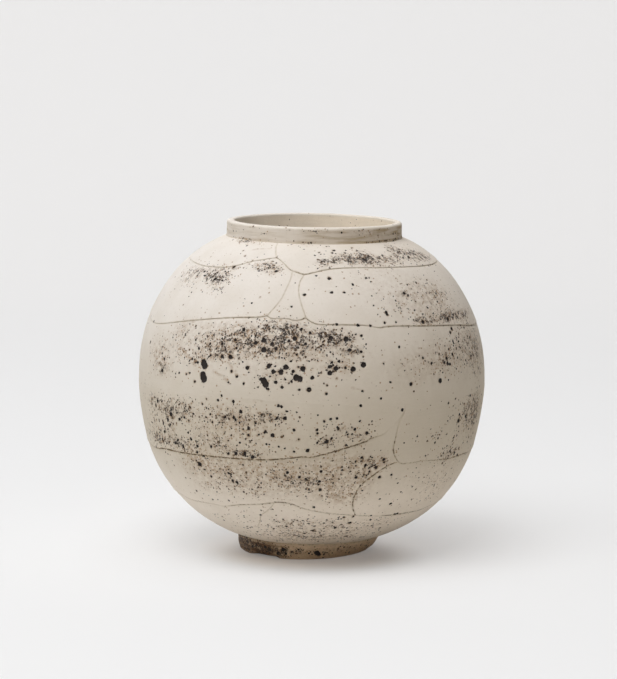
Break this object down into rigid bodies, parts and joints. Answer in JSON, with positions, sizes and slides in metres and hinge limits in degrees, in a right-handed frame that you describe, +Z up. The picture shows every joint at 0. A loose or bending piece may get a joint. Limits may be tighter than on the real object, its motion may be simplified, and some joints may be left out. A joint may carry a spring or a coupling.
{
  "type": "moon jar",
  "caption": "Round hand-built stoneware moon jar of luted clay slabs, with a low collared mouth, a belly joint and a small foot ring, for display or for holding branches.",
  "frame": {"origin": "middle of the foot ring's underside, on the surface that the jar stands on", "axes": "+Z up; -Y towards the front, the side seen in the picture; +X to the right of that side, the way the jar leans by 1 degree"},
  "size_m": [0.4, 0.4, 0.3843],
  "materials": {
    "speckled_stoneware": "matte",
    "smoothed_clay": "matte",
    "bare_clay": "matte",
    "scorched_foot_clay": "matte"
  },
  "bodies": {
    "root": {"shoulder_slab_right": "speckled_stoneware", "shoulder_slab_back": "speckled_stoneware", "shoulder_slab_left": "speckled_stoneware", "upper_gusset": "speckled_stoneware", "upper_slab_right": "speckled_stoneware", "upper_slab_back": "speckled_stoneware", "upper_slab_left": "speckled_stoneware", "upper_belly_slab_back_right": "speckled_stoneware", "upper_belly_slab_back_left": "speckled_stoneware", "upper_belly_slab_front": "speckled_stoneware", "lower_belly_slab_right": "speckled_stoneware", "lower_belly_slab_back": "speckled_stoneware", "lower_belly_slab_left": "speckled_stoneware", "lower_slab_right": "speckled_stoneware", "lower_slab_back": "speckled_stoneware", "lower_slab_left": "speckled_stoneware", "base_slab_right": "speckled_stoneware", "base_slab_back": "speckled_stoneware", "base_slab_left": "speckled_stoneware", "belly_coil": "smoothed_clay", "rim_collar": "speckled_stoneware", "base_disc": "bare_clay", "foot_ring": "scorched_foot_clay"}
  },
  "joints": []
}
